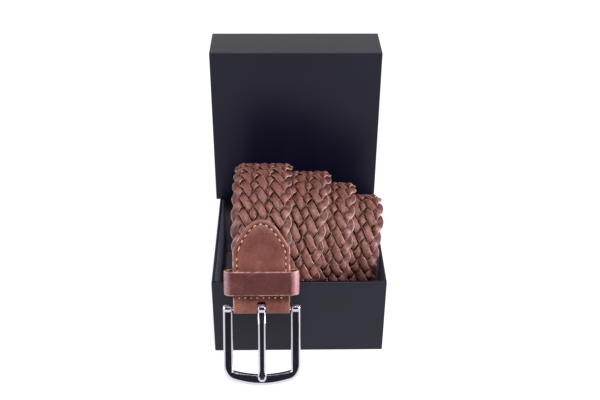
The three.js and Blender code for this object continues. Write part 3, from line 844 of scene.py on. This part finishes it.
def thread_between(a, b, out, radius=THREAD_RADIUS):
    """Rings of one stitch from a to b, arched along the direction out."""
    a, b, out = (np.asarray(v, float) for v in (a, b, out))
    along = (b - a) / np.linalg.norm(b - a)
    aside = np.cross(along, out)
    aside /= np.linalg.norm(aside)
    rings = []
    for share in np.linspace(0, 1, 7):
        thick = radius * (0.45 + 0.55 * math.sin(math.pi * share) ** 0.5)
        middle = a + (b - a) * share + out * 0.35 * math.sin(math.pi * share)
        angle = np.linspace(0, 2 * np.pi, 9)[:-1]
        rings.append(middle + thick * (np.cos(angle)[:, None] * aside + np.sin(angle)[:, None] * out))
    return np.array(rings)


def hole_at(place, along, out, radius=0.95):
    """Rings of one needle hole: a flat dark pellet set into the leather's surface, painted shade where the
    hole is.
    """
    aside = np.cross(along, out)
    rings = []
    for level, share in [(-0.25, 0.6), (0.03, 1.0), (0.07, 0.55)]:
        angle = np.linspace(0, 2 * np.pi, 9)[:-1]
        circle = np.cos(angle)[:, None] * aside + np.sin(angle)[:, None] * along
        rings.append(place + out * level + circle * radius * share)
    return np.array(rings)


def panel_point(aside, s, above):
    """A point on the front panel's face and the direction out of it."""
    lift = half_thickness(s) + LEATHER_GAP + TAB_LEATHER
    foot, top = on_strap(s, aside, lift + above), on_strap(s, aside, lift + above + 1)
    return foot, top - foot


print("thread", 2 * THREAD_RADIUS, "mm thick")


# %% Rows of stitches
def stitch_row(line, first, pitch=STITCH_PITCH, gap=1.05):
    """Threads and holes along a line of points (aside, s) on the front panel."""
    run = np.concatenate([[0], np.cumsum(np.linalg.norm(np.diff(line, axis=0), axis=1))])
    count = int((run[-1] - first) / pitch)
    threads, holes = [], []
    for i in range(count + 1):
        spot = [np.interp(first + i * pitch, run, line[:, k]) for k in range(2)]
        after = [np.interp(first + i * pitch + 0.3, run, line[:, k]) for k in range(2)]
        place, out = panel_point(*spot, -GROOVE_DEPTH)
        along = panel_point(*after, -GROOVE_DEPTH)[0] - place
        along /= np.linalg.norm(along)
        holes.append(hole_at(place, along, out))
        if i < count:
            end = [np.interp(first + (i + 1) * pitch, run, line[:, k]) for k in range(2)]
            goal = panel_point(*end, -GROOVE_DEPTH)[0]
            toward = (goal - place) / np.linalg.norm(goal - place)
            threads.append(thread_between(place + toward * gap, goal - toward * gap, out))
    return threads, holes


inset = inset_line(STITCH_INSET)
above_keeper = KEEPER_PLACE + KEEPER_HEIGHT / 2 - 3
arch_line = inset[inset[:, 1] > above_keeper]
row_place = KEEPER_PLACE - KEEPER_HEIGHT / 2 - 1.6
row_half = float(tab_half(row_place)) - 1.5
row_line = np.stack([np.linspace(-row_half, row_half, 120), np.full(120, row_place)], axis=1)
threads, holes = stitch_row(arch_line, 0.5)
row_threads, row_holes = stitch_row(row_line, 0.3, pitch=3.7, gap=1.2)
for name, parts, finish in [
    ("tab_stitches", threads + row_threads, thread),
    ("tab_needle_hole_shades", holes + row_holes, needle_hole_shade),
]:
    mesh = loft_mesh(name, parts, [finish], [0] * 8)
    hand_over(add_object(name, mesh), "box_and_strap", "buckle_tab", 180)
print("stitches:", len(threads + row_threads))

# %% [markdown]
# The keeper is a closed loop of the same leather, a little darker. Its front is flat, its sides
# are round, and its rims are cut and burnished. It is lofted around the loop, from a cross-section
# with a slight crown and two creased lines near its rims. A bent plate would do for its shape, but
# not for the creases. Its bends carry a painted highlight, the right one over more of its width.


# %% Keeper
def keeper_path(bend_steps=18, flat_steps=14):
    """Middles and outward directions around the loop, in the plane across the strap."""
    back = -stack_half - LEATHER_GAP
    front = stack_half + LEATHER_GAP + KEEPER_PLAY
    radius = (front - back) / 2
    straight = KEEPER_WIDTH / 2 - KEEPER_LEATHER - radius
    middle = (front + back) / 2
    path = []
    for side in (1, -1):
        for angle in np.linspace(-np.pi / 2, np.pi / 2, bend_steps) * side:
            path.append((side * straight, middle, side * math.cos(angle), math.sin(angle)))
        for x in np.linspace(side * straight, -side * straight, flat_steps)[1:-1]:
            path.append((x, middle, 0.0, float(side)))
    return path, radius


def keeper_rings():
    """Cross-sections around the loop, their wear and painted shading, and how many points each has."""
    half = KEEPER_HEIGHT / 2
    face = np.linspace(-half + 0.5, half - 0.5, 25)
    crease = 0.13 * np.exp(-(((half - np.abs(face) - 1.5) / 0.28) ** 2))
    crown = 0.12 * (1 - (face / half) ** 2)
    outside = [(KEEPER_LEATHER - 0.12 + c - d, y) for y, c, d in zip(face, crown, crease)]
    rim = [(KEEPER_LEATHER - 0.3, half - 0.12), (KEEPER_LEATHER / 2, half), (0.25, half - 0.1)]
    inside = [(0.0, half - 0.5), (0.0, 0.0), (0.0, -half + 0.5)]
    low_rim = [(r, -y) for r, y in rim[::-1]]
    section = outside + rim + inside + low_rim
    path, radius = keeper_path()
    rings, wear_and_shading = [], []
    for x, z, cos, sin in path:
        ring = []
        for away, y in section:
            r = radius + away
            local = np.array([x + r * cos, KEEPER_PLACE + y, z + r * sin])
            ring.append(
                np.array([bar_x + local[0], bar_y, bar_z]) + local[1] * strap_up + local[2] * strap_out
            )
        rings.append(ring)
        # Painted highlight on both bends, spread wider on the right one.
        side_highlight = 0.5 * abs(cos) ** (0.5 if cos > 0 else 1.3)
        wear_and_shading.append([0.5 + side_highlight + (0.25 if abs(y) > half - 0.8 else 0) for _, y in section])
    return np.array(rings), np.clip(np.array(wear_and_shading), 0, 1), len(section)


keeper_points, keeper_wear_and_shading, keeper_size = keeper_rings()
keeper_sides = [GRAIN] * 24 + [EDGE] * 4 + [FLESH_AND_SHADE] * 2 + [EDGE] * 4
keeper_mesh = loft_mesh(
    "keeper_leather_loop",
    [keeper_points],
    [keeper_leather, cut_edge, flesh_and_shaded_walls],
    keeper_sides,
    [keeper_wear_and_shading],
    looped=True,
)
keeper = add_object(keeper_mesh.name, keeper_mesh)
hand_over(keeper, "box_and_strap", "keeper_loop", 60)
print("keeper:", len(keeper_mesh.polygons), "faces, section of", keeper_size, "points")

# %% [markdown]
# The end tab closes the strap's free end, inside the coil. It is a smooth leather tongue as thick
# as the braid is when pressed, with a rounded point. It follows the strap's middle line, so it is
# lofted along that line like the braid.

# %% End tab
END_LENGTH = 46.0
END_POINT = 16.0
END_THICKNESS = 3.6
end_rings, end_wear = [], []
shares = np.linspace(-1, 1, 31)
under = shares[::-5][1:-1]
for along in END_LENGTH * np.sin(np.linspace(0, np.pi / 2, 50)):
    to_point = max(0.0, 1 - (END_LENGTH - along) / END_POINT)
    half = TAB_WIDTH / 2 * math.sqrt(1 - 0.9 * to_point**2)
    aside = np.concatenate([shares, [1, 1], under, [-1, -1]]) * half
    edge = half - np.abs(aside)
    top = END_THICKNESS / 2 - 0.5 * np.clip(1 - edge / 0.9, 0, 1) ** 2
    flat = np.full(len(under), -END_THICKNESS / 2)
    above = np.concatenate([top[: len(shares)], [0.6, -0.6], flat, [-0.6, 0.6]])
    end_rings.append(on_strap(BRAID_END + LEATHER_GAP + along, aside, above))
    end_wear.append(np.clip(0.5 + 0.3 * (1 - edge / 0.9), 0.45, 0.8))
end_size = len(end_rings[0])
end_mesh = loft_mesh(
    "end_tab_leather",
    [np.array(end_rings)],
    [tab_leather, cut_edge, flesh_and_shaded_walls],
    [GRAIN] * 30 + [EDGE] * 3 + [FLESH_AND_SHADE] * (end_size - 36) + [EDGE] * 3,
    [np.array(end_wear)],
)
hand_over(add_object(end_mesh.name, end_mesh), "box_and_strap", "end_tab", 60)
print("end tab:", len(end_mesh.polygons), "faces")

# %% [markdown]
# The buckle is a zinc casting, polished and chromed. Chrome has hardly any colour of its own: it
# is a mirror with soft-edged bevels, so its look is made by the studio around it. The faint haze of
# polishing varies its roughness a little. The frame could be swept along its U, but its rails and
# bow differ in width, so it is cut from its flat outline. Its edges are rounded more in front than
# at the back, least above the bow and most below it, and its bar and knuckles are joined to it.

# %% Chrome
HAZE_SIZE = 6.0
chrome, chrome_tree = new_material("polished_chrome")
chrome_place = add_node(chrome_tree, "ShaderNodeTexCoord").outputs["Object"]
haze = add_node(
    chrome_tree,
    "ShaderNodeTexNoise",
    {"Vector": chrome_place, "Scale": per_metre(HAZE_SIZE), "Detail": 5.0},
).outputs["Fac"]
chrome_gloss = add_node(
    chrome_tree,
    "ShaderNodeMapRange",
    {"Value": haze, "From Min": 0.35, "From Max": 0.65, "To Min": 0.05, "To Max": 0.11},
).outputs["Result"]
chrome_looks = {"Base Color": linear("#c4c3ce"), "Metallic": 1.0, "Roughness": chrome_gloss}
chrome_surface = add_node(chrome_tree, "ShaderNodeBsdfPrincipled", chrome_looks)
add_node(chrome_tree, "ShaderNodeOutputMaterial", {"Surface": chrome_surface.outputs["BSDF"]})
print("metal:", chrome.name)

# %% Measures of the buckle
BUCKLE_WIDTH = 48.0
RAIL = 6.0
BOW = 7.0
BOW_SAG = 3.0
WINDOW_SAG = 2.6
CORNER_WIDTH = 6.5
CORNER_HEIGHT = 10.0
BEVEL = 1.75
BOW_BEVEL = 2.1
WINDOW_BEVEL = 0.85
BACK_BEVEL = 0.75
BAR = 3.0
KNUCKLE = 2.7


def in_strap_plane(x, up, out):
    """A point given across, up the strap from the bar and out of it, in metres."""
    return (np.array([bar_x + x, bar_y, bar_z]) + up * strap_up + out * strap_out) * MM


def curve_points(controls, steps):
    """Points of a Bezier curve of any degree, without its first one."""
    controls = np.array(controls, float)
    out = []
    for t in np.linspace(0, 1, steps + 1)[1:]:
        row = controls
        while len(row) > 1:
            row = row[:-1] * (1 - t) + row[1:] * t
        out.append(tuple(row[0]))
    return out


print("buckle", BUCKLE_WIDTH, "mm wide, rails", RAIL, "mm, bow", BOW, "mm")


# %% Outline of the buckle
def frame_outline():
    """The U of two rails and the bow, as a closed line of points across and up the strap."""
    outer_x, inner_x = BUCKLE_WIDTH / 2, BUCKLE_WIDTH / 2 - RAIL
    bow_x = outer_x - CORNER_WIDTH
    bow_end = -BUCKLE_REACH + BOW_SAG
    window = -BUCKLE_REACH + BOW
    outer = [(outer_x, 0.0), (outer_x, bow_end + CORNER_HEIGHT)]
    outer += curve_points(
        [
            outer[-1],
            (outer_x, bow_end + CORNER_HEIGHT * 0.45),
            (bow_x + CORNER_WIDTH * 0.5, bow_end + BOW_SAG * 0.37),
            (bow_x, bow_end),
        ],
        12,
    )
    outer += curve_points([outer[-1], (bow_x / 2, -BUCKLE_REACH), (0, -BUCKLE_REACH)], 12)
    inner = [(inner_x, 0.0), (inner_x, window + WINDOW_SAG)]
    inner += curve_points([inner[-1], (inner_x / 2, window), (0, window)], 12)
    mirrored = [(-x, y) for x, y in outer[::-1][1:]] + [(-x, y) for x, y in inner]
    return outer + mirrored + inner[::-1][1:]


outline = frame_outline()
print("the outline has", len(outline), "points")


# %% Plates and rods
def solid_from_outline(name, outline, thickness):
    """A plate of the outline, in the plane of the strap's end."""
    size = len(outline)
    points = [in_strap_plane(x, y, z) for z in (-thickness / 2, thickness / 2) for x, y in outline]
    faces = [list(range(size))[::-1], list(range(size, 2 * size))]
    faces += [[i, (i + 1) % size, size + (i + 1) % size, size + i] for i in range(size)]
    mesh = bpy.data.meshes.new(name)
    mesh.from_pydata([tuple(p) for p in points], [], faces)
    mesh.materials.append(chrome)
    return add_object(name, mesh)


def rod(name, radius, from_x, to_x, rounding=0.0):
    """A rod along the bar, with its ends rounded off."""
    rings = []
    for share in np.linspace(0, 1, 9):
        x = from_x + (to_x - from_x) * (1 - math.cos(math.pi * share)) / 2
        near_end = min(abs(x - from_x), abs(to_x - x))
        r = radius - rounding * (1 - min(1.0, near_end / max(rounding, 1e-6))) ** 2
        angle = np.linspace(0, 2 * np.pi, 41)[:-1]
        rings.append([in_strap_plane(x, r * math.cos(a), r * math.sin(a)) / MM for a in angle])
    mesh = loft_mesh(name, [np.array(rings)], [chrome], [0] * 40)
    return add_object(name, mesh)


def round_edges(piece, width, segments, angle=35):
    """Rounds all edges that are sharper than an angle."""
    modifier = piece.modifiers.new("round", "BEVEL")
    modifier.width = width * MM
    modifier.segments = segments
    modifier.limit_method = "ANGLE"
    modifier.angle_limit = math.radians(angle)
    return apply_modifiers(piece)


print("chrome pieces start as plates", BUCKLE_THICKNESS, "mm and rods", BAR, "mm thick")


# %% Buckle frame
def round_frame(plate, outline, segments=6):
    """Rounds the frame's edges: little at the back, more in front, and most under the bow."""
    size = len(outline)
    weights = []
    for edge in plate.data.edges:
        a, b = edge.vertices
        same_side = (a < size) == (b < size)
        x, y = outline[a % size]
        width = 0.0
        if same_side and a < size:
            width = BACK_BEVEL
        elif same_side:
            outer = y < -BUCKLE_REACH + BOW_SAG + 2 or abs(x) > rail_inside + 0.2
            under = smooth((BUCKLE_WIDTH / 2 - abs(x)) / 12) * smooth((-y - 30) / 12) if outer else 0
            over = smooth((rail_inside - 2 - abs(x)) / 5) if not outer else 0
            width = BEVEL + (BOW_BEVEL - BEVEL) * float(under) - (BEVEL - WINDOW_BEVEL) * float(over)
        weights.append(width / BOW_BEVEL)
    attribute = plate.data.attributes.new("bevel_weight_edge", "FLOAT", "EDGE")
    attribute.data.foreach_set("value", weights)
    modifier = plate.modifiers.new("round", "BEVEL")
    modifier.width = BOW_BEVEL * MM
    modifier.segments = segments
    modifier.limit_method = "WEIGHT"
    modifier.use_clamp_overlap = False
    return apply_modifiers(plate)


rail_inside = BUCKLE_WIDTH / 2 - RAIL
rails = round_frame(solid_from_outline("buckle_frame_polished", outline, BUCKLE_THICKNESS), outline)
for side in (1, -1):
    cut_by(rails, rod("knuckle", KNUCKLE, side * rail_inside, side * BUCKLE_WIDTH / 2, 1.5), "UNION")
cut_by(rails, rod("bar", BAR / 2, -rail_inside - 1, rail_inside + 1), "UNION")
hand_over(rails, "frame", "buckle_frame", 45, flat_faces=True)
print("buckle frame:", len(rails.data.polygons), "faces")

# %% [markdown]
# The prong is bent from a flat bar: an eye around the buckle's bar and a tongue that lies on the
# bow. It could be a beveled curve, but its section changes: it climbs from the eye, is rounded and
# a little arched along its shaft, and flat at its wider tip. So it is lofted from a short table of
# sections, with how wide each is and how high its two faces lie, in prong thicknesses.

# %% Prong
PRONG_WIDTH = 4.8
PRONG_THICKNESS = 2.4
PRONG_TIP = 5.6
TIP_INSET = 3.4
EYE_WIDTH = 4.6
EYE_WALL = 1.9
SHAFT_CORNER = 0.96
TIP_CORNER = 0.72
ProngSection = namedtuple("ProngSection", "share wide tip low high")
PRONG_SECTIONS = [
    ProngSection(0.05, 0.92, 0, -0.10, 0.44),
    ProngSection(0.10, 0.98, 0, -0.10, 0.56),
    ProngSection(0.19, 0.98, 0, -0.05, 0.98),
    ProngSection(0.25, 0.96, 0, 0.00, 1.04),
    ProngSection(0.55, 0.94, 0, 0.05, 1.12),
    ProngSection(0.84, 0.92, 0, 0.00, 1.03),
    ProngSection(0.93, 1.00, 1, 0.00, 1.00),
    ProngSection(0.97, 0.86, 1, 0.00, 0.98),
    ProngSection(0.99, 0.62, 1, 0.00, 0.92),
    ProngSection(1.00, 0.36, 1, 0.00, 0.80),
]


def prong_rings(rings_count=90):
    """Rounded cross-sections from the bar to the tip, read from the table as a smooth curve."""
    shares = np.array([row.share for row in PRONG_SECTIONS])
    reach = BUCKLE_REACH - TIP_INSET
    on_bow = BUCKLE_THICKNESS / 2 + LEATHER_GAP
    rings = []
    for share in shares[0] + (1 - shares[0]) * np.sin(np.linspace(0, np.pi / 2, rings_count)):
        wide, tip, low, high = (
            np.interp(share, shares, [getattr(row, name) for row in PRONG_SECTIONS])
            for name in ("wide", "tip", "low", "high")
        )
        half = wide * (PRONG_WIDTH + (PRONG_TIP - PRONG_WIDTH) * smooth(tip)) / 2
        corner = SHAFT_CORNER + (TIP_CORNER - SHAFT_CORNER) * smooth(tip)
        middle = on_bow + (low + high) / 2 * PRONG_THICKNESS
        tall = (high - low) / 2 * PRONG_THICKNESS
        ring = []
        for angle in np.linspace(0, 2 * np.pi, 29)[:-1]:
            cos, sin = math.cos(angle), math.sin(angle)
            x = half * math.copysign(abs(cos) ** corner, cos)
            z = middle + tall * math.copysign(abs(sin) ** corner, sin)
            ring.append(in_strap_plane(x, -reach * share, z) / MM)
        rings.append(ring)
    return np.array(rings)


def eye_rings(corner=0.6):
    """A rounded band around the bar."""
    inner = BAR / 2 + LEATHER_GAP
    rings = []
    for turn in np.linspace(0, 2 * np.pi, 49)[:-1]:
        ring = []
        for angle in np.linspace(0, 2 * np.pi, 17)[:-1]:
            cos, sin = math.cos(angle), math.sin(angle)
            r = inner + EYE_WALL / 2 * (1 + math.copysign(abs(cos) ** corner, cos))
            x = EYE_WIDTH / 2 * math.copysign(abs(sin) ** corner, sin)
            ring.append(in_strap_plane(x, r * math.cos(turn), r * math.sin(turn)) / MM)
        rings.append(ring)
    return np.array(rings)


tongue_mesh = loft_mesh("prong_polished", [prong_rings()], [chrome], [0] * 28)
eye_mesh = loft_mesh("prong_eye", [eye_rings()], [chrome], [0] * 16, looped=True)
tongue = cut_by(add_object("prong_polished", tongue_mesh), add_object("prong_eye", eye_mesh), "UNION")
hand_over(tongue, "tongue", "prong", 45, flat_faces=True)
print("prong:", len(tongue.data.polygons), "faces")

# %% [markdown]
# The box is greyboard wrapped in smooth matt paper, nearly black with a touch of blue. Where board
# is wrapped, every edge is a small round fold that catches a thin line of light. Both halves are
# trays, so one function makes them from two nested boxes, and their edges are rounded afterwards.
# A box with a Solidify modifier would look the same, but would give the lining no material.


# %% Paper
# The tooth of such paper is about 0.1 mm: it is drawn coarser, so that it shows.
CLOUD_SIZE = 28.0
TOOTH_SIZE = 0.5


def wrapped_board(name, shade, light, rough):
    """Matt coated paper on greyboard: almost one colour, with a faint cloudiness and a fine tooth."""
    material, tree = new_material(name)
    place = add_node(tree, "ShaderNodeTexCoord").outputs["Object"]
    clouds = {"Vector": place, "Scale": per_metre(CLOUD_SIZE), "Detail": 3.0}
    cloud = add_node(tree, "ShaderNodeTexNoise", clouds).outputs["Fac"]
    stops = [(0.3, shade), (0.7, light)]
    tone = add_node(tree, "ShaderNodeValToRGB", {"Fac": cloud}, stops).outputs["Color"]
    fibres = {"Vector": place, "Scale": per_metre(TOOTH_SIZE), "Detail": 2.0}
    tooth = add_node(tree, "ShaderNodeTexNoise", fibres).outputs["Fac"]
    bump = add_node(tree, "ShaderNodeBump", {"Height": tooth, "Strength": 0.25, "Distance": 0.03 * MM})
    looks = {"Base Color": tone, "Normal": bump.outputs["Normal"], "Roughness": rough, "IOR": 1.35}
    surface = add_node(tree, "ShaderNodeBsdfPrincipled", looks)
    add_node(tree, "ShaderNodeOutputMaterial", {"Surface": surface.outputs["BSDF"]})
    return material


outside_paper = wrapped_board("matt_wrapping_paper", "#060618", "#09091d", rough=0.40)
lining_paper = wrapped_board("lining_paper", "#615e6a", "#696672", rough=0.5)
print("papers:", outside_paper.name, lining_paper.name)

# %% A tray
def tray(name, low, high, board, open_axis, open_sign):
    """A tray from one corner to the other, open along an axis, with its lining as material 1."""
    low, high = np.array(low, float), np.array(high, float)
    inner_low, inner_high = low + board, high - board
    if open_sign > 0:
        inner_high[open_axis] = high[open_axis]
    else:
        inner_low[open_axis] = low[open_axis]

    def corners(a, b):
        return [tuple((a, b)[bit][k] for k, bit in enumerate(bits)) for bits in np.ndindex(2, 2, 2)]

    points = corners(low, high) + corners(inner_low, inner_high)

    def corner(block, bits):
        return block * 8 + bits[0] * 4 + bits[1] * 2 + bits[2]

    faces, numbers = [], []
    for axis in range(3):
        others = [k for k in range(3) if k != axis]
        for sign in (0, 1):
            square = []
            for p, q in [(0, 0), (1, 0), (1, 1), (0, 1)]:
                bits = [0, 0, 0]
                bits[axis], bits[others[0]], bits[others[1]] = sign, p, q
                square.append(bits)
            is_mouth = axis == open_axis and sign == (1 if open_sign > 0 else 0)
            if is_mouth:
                for i in range(4):
                    a, b = square[i], square[(i + 1) % 4]
                    faces.append([corner(0, a), corner(0, b), corner(1, b), corner(1, a)])
                    numbers.append(0)
                continue
            for block in (0, 1):
                faces.append([corner(block, bits) for bits in square])
                numbers.append(block)
    mesh = bpy.data.meshes.new(name)
    mesh.from_pydata(points, [], faces)
    mesh.materials.append(outside_paper)
    mesh.materials.append(lining_paper)
    mesh.polygons.foreach_set("material_index", numbers)
    solid = bmesh.new()
    solid.from_mesh(mesh)
    bmesh.ops.recalc_face_normals(solid, faces=solid.faces)
    solid.to_mesh(mesh)
    solid.free()
    return add_object(name, mesh)


print("a tray has", 5 * 2 + 4, "faces before its edges are rounded")

# %% Box
LID_BOARD = 1.2
base_tray = tray("papered_base", *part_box("box_base"), BASE_BOARD * MM, 2, 1)
hand_over(round_edges(base_tray, 0.7, 3), "box_and_strap", "box_base", 40, flat_faces=True)
lid_tray = tray("papered_lid", *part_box("box_lid"), LID_BOARD * MM, 1, 1)
hand_over(round_edges(lid_tray, 0.5, 3), "box_and_strap", "box_lid", 40, flat_faces=True)
print("box: base", len(base_tray.data.polygons), "faces, lid", len(lid_tray.data.polygons), "faces")

# %% [markdown]
# The set is a white table that runs on into a white room. A big soft light hangs high in front and
# two soft walls of light stand at the sides. Three cards are out of the picture: a black one in
# front, a grey one above it and a grey one overhead. The chrome shows them in its flats, between
# its bright edges. They cast no shadow, so they darken nothing but the chrome's reflections.


# %% Pieces of the set
CARD_Y = -0.62
BLACK_TOP = 0.57
GREY_TOP = 1.0


def area_light(name, place, size, power, colour="#ffffff"):
    """A rectangular soft light that faces the middle of the object."""
    data = bpy.data.lights.new(name, "AREA")
    data.shape = "RECTANGLE"
    data.size, data.size_y = size
    data.energy = power
    data.color = linear(colour)[:3]
    light = add_object(name, data)
    light.location = place
    light.rotation_euler = (OBJECT_MIDDLE - Vector(place)).to_track_quat("-Z", "Y").to_euler()


def stage_plane(name, corners, material):
    """A flat piece of the set."""
    mesh = bpy.data.meshes.new(name)
    mesh.from_pydata(corners, [], [[0, 1, 2, 3]])
    mesh.materials.append(material)
    plane = add_object(name, mesh)
    return plane


def hidden_card(name, swatch, half_width, near, far):
    """A cloth card between two edges, each given by y and z, that only reflections show."""
    material, tree = new_material(name + "_cloth")
    cloth = add_node(tree, "ShaderNodeBsdfPrincipled", {"Base Color": linear(swatch), "Roughness": 1.0})
    add_node(tree, "ShaderNodeOutputMaterial", {"Surface": cloth.outputs["BSDF"]})
    corners = [(-half_width, *near), (half_width, *near), (half_width, *far), (-half_width, *far)]
    card = stage_plane(name, corners, material)
    card.visible_camera = False
    card.visible_diffuse = False
    card.visible_shadow = False


print("the cards lie between", GREY_TOP, "m up and the table")

# %% Table and cards
TABLE = 4.0
TABLE_GLOW = 0.79
white_table, table_tree = new_material("white_table")
glow = {"Emission Color": linear("#ffffff"), "Emission Strength": TABLE_GLOW}
matt_white = {"Base Color": linear("#a0a0a0"), "Roughness": 0.9} | glow
table_surface = add_node(table_tree, "ShaderNodeBsdfPrincipled", matt_white)
add_node(table_tree, "ShaderNodeOutputMaterial", {"Surface": table_surface.outputs["BSDF"]})
stage_plane(
    "table", [(-TABLE, -TABLE, 0), (TABLE, -TABLE, 0), (TABLE, TABLE, 0), (-TABLE, TABLE, 0)], white_table
)

hidden_card("black_flag", "#0a0a0c", 0.45, (CARD_Y, 0.02), (CARD_Y, BLACK_TOP))
hidden_card("grey_ceiling", "#7c7a84", 0.9, (CARD_Y, GREY_TOP), (0.95, GREY_TOP))
hidden_card("grey_drop", "#7c7a84", 0.45, (CARD_Y, BLACK_TOP), (CARD_Y, GREY_TOP))

# %% Lights
OBJECT_MIDDLE = Vector((0.0, 0.0, 0.06))
area_light("key_light", (0.12, -0.50, 1.08), (0.50, 0.32), 12.8)
area_light("left_light", (-1.0, -0.05, 0.19), (0.8, 0.34), 8, "#ece6ff")
area_light("right_light", (1.0, -0.05, 0.19), (0.8, 0.34), 18, "#f6f0ff")

ROOM_SEEN = 1.0
ROOM_FILL = 0.12
world = bpy.data.worlds.new("white_room")
bpy.context.scene.world = world
world.use_nodes = True
room = world.node_tree
ray = add_node(room, "ShaderNodeLightPath").outputs["Is Diffuse Ray"]
fill = add_node(room, "ShaderNodeMapRange", {"Value": ray, "To Min": ROOM_SEEN, "To Max": ROOM_FILL})
room_light = room.nodes["Background"].inputs
room_light["Color"].default_value = linear("#ffffff")
room.links.new(fill.outputs["Result"], room_light["Strength"])
